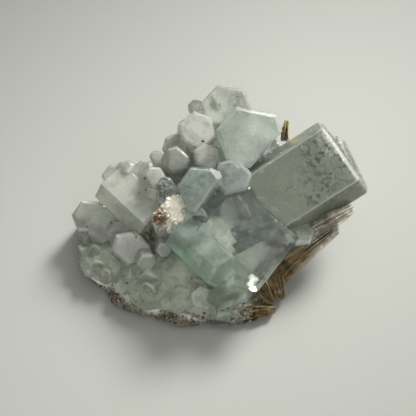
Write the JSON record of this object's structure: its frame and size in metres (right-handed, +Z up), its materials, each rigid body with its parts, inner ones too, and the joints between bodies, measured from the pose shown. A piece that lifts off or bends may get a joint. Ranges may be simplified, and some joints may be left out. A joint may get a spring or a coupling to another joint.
{
  "type": "aquamarine with muscovite and albite",
  "caption": "Clear pale blue-green aquamarine crystals grown into one cluster on a rough albite crust, with brown muscovite books along one side; lies flat for display.",
  "frame": {"origin": "under the middle of the bounding box, on the flat the specimen rests on", "axes": "+Z up, +X towards the large clear block on the right, -Y towards the viewer of the picture"},
  "size_m": [0.0696, 0.0552, 0.0283],
  "materials": {
    "aquamarine": "clear to frosted crystal",
    "albite_crust": "rough",
    "albite_sugar": "sugary",
    "muscovite": "pearly sheets"
  },
  "bodies": {
    "root": {"aquamarine_cluster": "aquamarine", "albite_matrix": "albite_crust", "albite_rosette": "albite_sugar", "muscovite_upper": "muscovite", "muscovite_long": "muscovite", "muscovite_lower": "muscovite", "muscovite_fan_left": "muscovite", "muscovite_fan_right": "muscovite", "muscovite_foot": "muscovite", "muscovite_back": "muscovite"}
  },
  "joints": []
}
